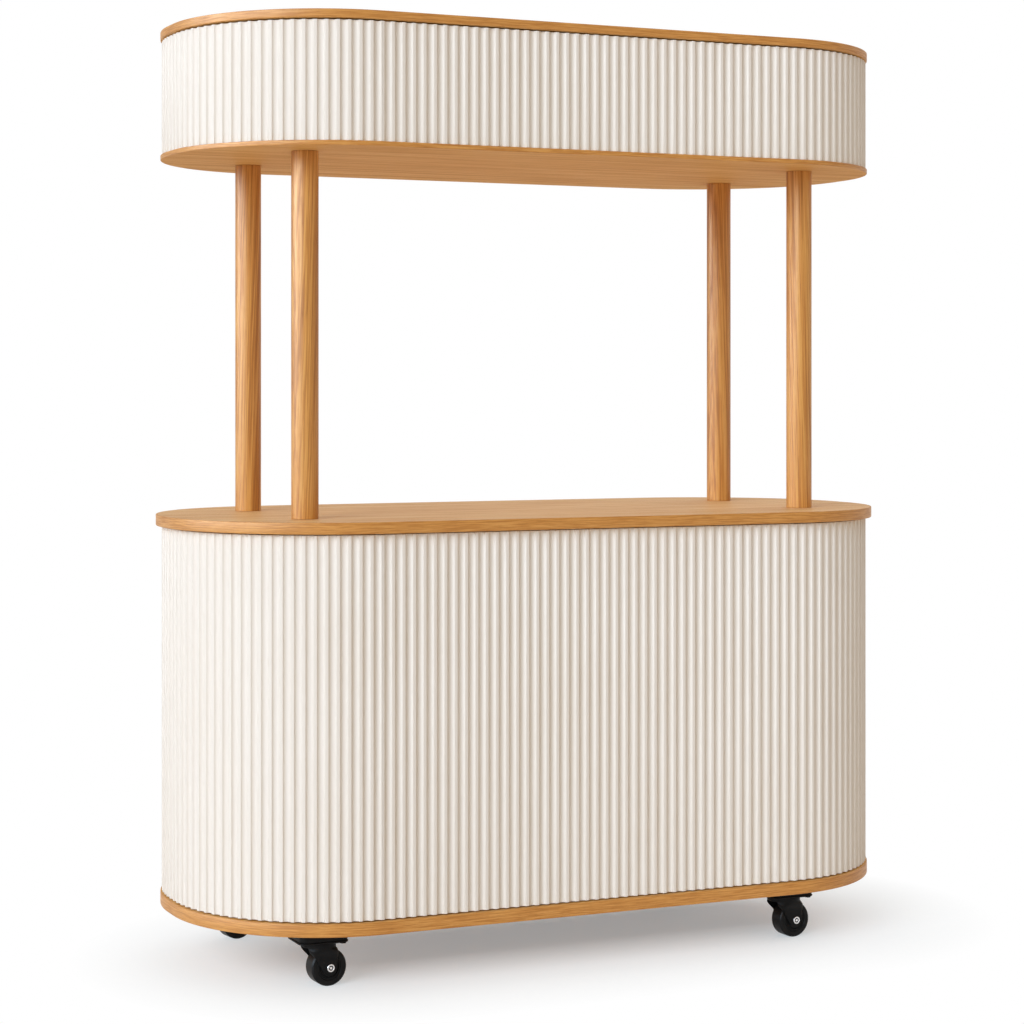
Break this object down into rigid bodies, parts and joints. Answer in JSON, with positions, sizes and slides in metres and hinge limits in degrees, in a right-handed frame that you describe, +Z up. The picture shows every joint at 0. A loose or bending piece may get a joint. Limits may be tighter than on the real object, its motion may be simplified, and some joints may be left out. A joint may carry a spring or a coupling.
{
  "type": "coffee cart",
  "caption": "Pill-shaped serving cart: fluted cabinet with an open, shelved back, oak worktop, fluted canopy on round oak posts, and swivel casters to roll it.",
  "frame": {"origin": "on the floor, under the middle of the cart", "axes": "+Z up, +X along the cart to the right as customers see it, +Y from the customers' side to the service side"},
  "size_m": [1.68, 0.74, 2],
  "materials": {
    "oak": "clear satin oil on oak",
    "plywood": "clear satin varnish on plywood",
    "cream_paint": "satin cream paint on fluted board",
    "black_paint": "satin black powder coat",
    "black_plastic": "matt black moulding",
    "tyre": "black rubber",
    "bright_steel": "bright plated steel",
    "zinc_steel": "zinc plated steel"
  },
  "bodies": {
    "cart": {"base_board": "oak", "worktop": "oak", "canopy_floor": "oak", "canopy_roof": "oak", "cabinet_front_cladding": "cream_paint", "cabinet_left_cladding": "cream_paint", "cabinet_right_cladding": "cream_paint", "canopy_front_cladding": "cream_paint", "canopy_back_cladding": "cream_paint", "canopy_left_cladding": "cream_paint", "canopy_right_cladding": "cream_paint", "front_lining": "plywood", "centre_divider": "plywood", "left_upright": "plywood", "right_upright": "plywood", "left_shelf": "plywood", "right_shelf": "plywood", "left_end_rib": "plywood", "right_end_rib": "plywood", "canopy_left_rib": "plywood", "canopy_right_rib": "plywood", "post_front_left": "oak", "post_rod_front_left": "zinc_steel", "post_nut_front_left": "zinc_steel", "caster_pad_front_left": "black_paint", "caster_plate_front_left": "black_paint", "post_front_right": "oak", "post_rod_front_right": "zinc_steel", "post_nut_front_right": "zinc_steel", "caster_pad_front_right": "black_paint", "caster_plate_front_right": "black_paint", "post_back_left": "oak", "post_rod_back_left": "zinc_steel", "post_nut_back_left": "zinc_steel", "caster_pad_back_left": "black_paint", "caster_plate_back_left": "black_paint", "post_back_right": "oak", "post_rod_back_right": "zinc_steel", "post_nut_back_right": "zinc_steel", "caster_pad_back_right": "black_paint", "caster_plate_back_right": "black_paint"},
    "fork_front_left": {"caster_fork_front_left": "black_paint", "caster_axle_front_left": "bright_steel"},
    "wheel_front_left": {"caster_hub_front_left": "black_plastic", "caster_tyre_front_left": "tyre"},
    "fork_front_right": {"caster_fork_front_right": "black_paint", "caster_axle_front_right": "bright_steel"},
    "wheel_front_right": {"caster_hub_front_right": "black_plastic", "caster_tyre_front_right": "tyre"},
    "fork_back_left": {"caster_fork_back_left": "black_paint", "caster_axle_back_left": "bright_steel"},
    "wheel_back_left": {"caster_hub_back_left": "black_plastic", "caster_tyre_back_left": "tyre"},
    "fork_back_right": {"caster_fork_back_right": "black_paint", "caster_axle_back_right": "bright_steel"},
    "wheel_back_right": {"caster_hub_back_right": "black_plastic", "caster_tyre_back_right": "tyre"}
  },
  "joints": [
    {"name": "swivel_front_left", "type": "hinge", "parent": "cart", "child": "fork_front_left", "pos_m": [-0.587, -0.24, 0.093], "axis": [0, 0, 1], "continuous": true},
    {"name": "roll_front_left", "type": "hinge", "parent": "fork_front_left", "child": "wheel_front_left", "pos_m": [-0.56903, -0.23906, 0.039], "axis": [-0.0523, 0.9986, 0], "continuous": true},
    {"name": "swivel_front_right", "type": "hinge", "parent": "cart", "child": "fork_front_right", "pos_m": [0.53, -0.24, 0.093], "axis": [0, 0, 1], "continuous": true},
    {"name": "roll_front_right", "type": "hinge", "parent": "fork_front_right", "child": "wheel_front_right", "pos_m": [0.54797, -0.23906, 0.039], "axis": [-0.0523, 0.9986, 0], "continuous": true},
    {"name": "swivel_back_left", "type": "hinge", "parent": "cart", "child": "fork_back_left", "pos_m": [-0.587, 0.24, 0.093], "axis": [0, 0, 1], "continuous": true},
    {"name": "roll_back_left", "type": "hinge", "parent": "fork_back_left", "child": "wheel_back_left", "pos_m": [-0.60473, 0.23687, 0.039], "axis": [0.1736, -0.9848, 0], "continuous": true},
    {"name": "swivel_back_right", "type": "hinge", "parent": "cart", "child": "fork_back_right", "pos_m": [0.53, 0.24, 0.093], "axis": [0, 0, 1], "continuous": true},
    {"name": "roll_back_right", "type": "hinge", "parent": "fork_back_right", "child": "wheel_back_right", "pos_m": [0.54797, 0.24094, 0.039], "axis": [-0.0523, 0.9986, 0], "continuous": true}
  ]
}
